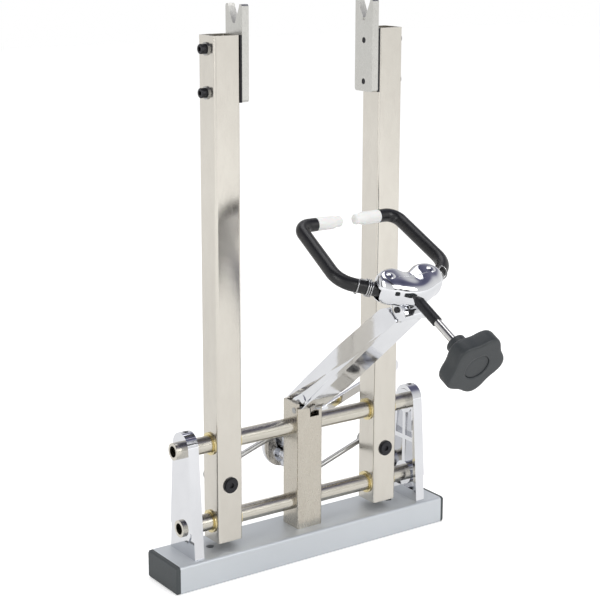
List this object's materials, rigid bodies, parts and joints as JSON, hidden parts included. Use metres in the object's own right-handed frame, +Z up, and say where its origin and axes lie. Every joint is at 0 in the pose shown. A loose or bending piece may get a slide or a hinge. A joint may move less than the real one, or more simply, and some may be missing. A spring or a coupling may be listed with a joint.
{
  "type": "bicycle wheel truing stand",
  "caption": "Bench stand for truing bicycle wheels: self-centring uprights with axle notches slide on guide rods, and a screw-closed caliper with feeler tips swings on an arm.",
  "frame": {"origin": "middle of the base's underside, on the floor", "axes": "+X along the base to the right, +Y to the back, +Z up"},
  "size_m": [0.352, 0.3304, 0.591],
  "materials": {
    "silver_enamel": "satin silver-grey enamel",
    "cap_plastic": "moulded",
    "chrome_casting": "polished chrome over a casting",
    "nickel": "bright nickel plate on steel",
    "zinc_steel": "turned steel",
    "black_steel": "black oxide",
    "bronze": "turned bronze",
    "shim_plastic": "sheet",
    "jaw_coating": "black powder coat on steel bar",
    "tip_plastic": "turned white plastic",
    "knob_plastic": "moulded, fine grain"
  },
  "bodies": {
    "frame": {"base_tube": "silver_enamel", "end_caps": "cap_plastic", "left_bracket": "chrome_casting", "right_bracket": "chrome_casting", "bracket_bolts": "black_steel", "upper_rod": "nickel", "lower_rod": "nickel", "rod_set_screws": "black_steel", "centre_post": "nickel", "post_bolts": "black_steel", "arm_pivot_pin": "zinc_steel", "rocker_pivot_bolt": "black_steel"},
    "right_slide": {"right_upright": "nickel", "right_bushes": "bronze", "right_shim": "shim_plastic", "right_axle_plate": "nickel", "right_plate_screws": "black_steel", "right_washers": "zinc_steel", "right_link_screw": "black_steel"},
    "left_slide": {"left_upright": "nickel", "left_bushes": "bronze", "left_shim": "shim_plastic", "left_axle_plate": "nickel", "left_plate_screws": "black_steel", "left_washers": "zinc_steel", "left_link_screw": "black_steel"},
    "rocker": {"rocker": "chrome_casting", "rocker_pins": "zinc_steel", "operating_lever": "chrome_casting"},
    "right_link": {"right_link": "zinc_steel"},
    "left_link": {"left_link": "zinc_steel"},
    "arm": {"caliper_arm": "chrome_casting", "head_pin_screw": "black_steel"},
    "head": {"head_housing": "chrome_casting", "jaw_pivots": "chrome_casting", "head_pivot_pin": "zinc_steel"},
    "left_jaw": {"left_jaw": "jaw_coating", "left_tip": "tip_plastic", "left_jaw_spring": "zinc_steel"},
    "right_jaw": {"right_jaw": "jaw_coating", "right_tip": "tip_plastic", "right_jaw_spring": "zinc_steel"},
    "nut": {"spreader_nut": "zinc_steel"},
    "knob": {"spindle": "zinc_steel", "spindle_sleeve": "black_steel", "star_knob": "knob_plastic", "knob_cap": "knob_plastic"}
  },
  "joints": [
    {"name": "upright_slide", "type": "slide", "parent": "frame", "child": "right_slide", "axis": [1, 0, 0], "range_m": [-0.027, 0.018]},
    {"name": "left_upright_slide", "type": "slide", "parent": "frame", "child": "left_slide", "axis": [1, 0, 0], "range_m": [-0.018, 0.027]},
    {"name": "rocker_turn", "type": "hinge", "parent": "frame", "child": "rocker", "pos_m": [0, 0, 0.099], "axis": [0, -1, 0], "range_deg": [-43, 29]},
    {"name": "right_link_turn", "type": "hinge", "parent": "right_slide", "child": "right_link", "pos_m": [0.1015, 0, 0.099], "axis": [0, 1, 0], "range_deg": [-6, 6]},
    {"name": "left_link_turn", "type": "hinge", "parent": "left_slide", "child": "left_link", "pos_m": [-0.1015, 0, 0.099], "axis": [0, 1, 0], "range_deg": [-6, 6]},
    {"name": "arm_tilt", "type": "hinge", "parent": "frame", "child": "arm", "pos_m": [0, -0.007, 0.162], "axis": [1, 0, 0], "range_deg": [-10, 38]},
    {"name": "head_tilt", "type": "hinge", "parent": "arm", "child": "head", "pos_m": [0, -0.17923, 0.3091], "axis": [1, 0, 0], "range_deg": [-20, 30]},
    {"name": "knob_turn", "type": "hinge", "parent": "head", "child": "knob", "pos_m": [0, -0.18547, 0.32107], "axis": [0, 0.887, 0.4617], "range_deg": [-1440, 360]},
    {"name": "nut_travel", "type": "slide", "parent": "head", "child": "nut", "axis": [0, 0.887, 0.4617], "range_m": [-0.00083, 0.00302]},
    {"name": "right_jaw_swing", "type": "hinge", "parent": "head", "child": "right_jaw", "pos_m": [0.0245, -0.17127, 0.32846], "axis": [0, -0.4617, 0.887], "range_deg": [-11, 3]},
    {"name": "left_jaw_swing", "type": "hinge", "parent": "head", "child": "left_jaw", "pos_m": [-0.0245, -0.17127, 0.32846], "axis": [0, -0.4617, 0.887], "range_deg": [-3, 11]}
  ],
  "couplings": [
    {"joint": "left_upright_slide", "follows": "upright_slide", "ratio": -1},
    {"joint": "rocker_turn", "follows": "upright_slide", "rad_per_m": 27},
    {"joint": "right_link_turn", "follows": "upright_slide", "rad_per_m": -1.2},
    {"joint": "left_link_turn", "follows": "upright_slide", "rad_per_m": -1.2},
    {"joint": "nut_travel", "follows": "knob_turn", "m_per_rad": -0.00011625},
    {"joint": "right_jaw_swing", "follows": "knob_turn", "ratio": 0.0075},
    {"joint": "left_jaw_swing", "follows": "knob_turn", "ratio": -0.0075}
  ]
}
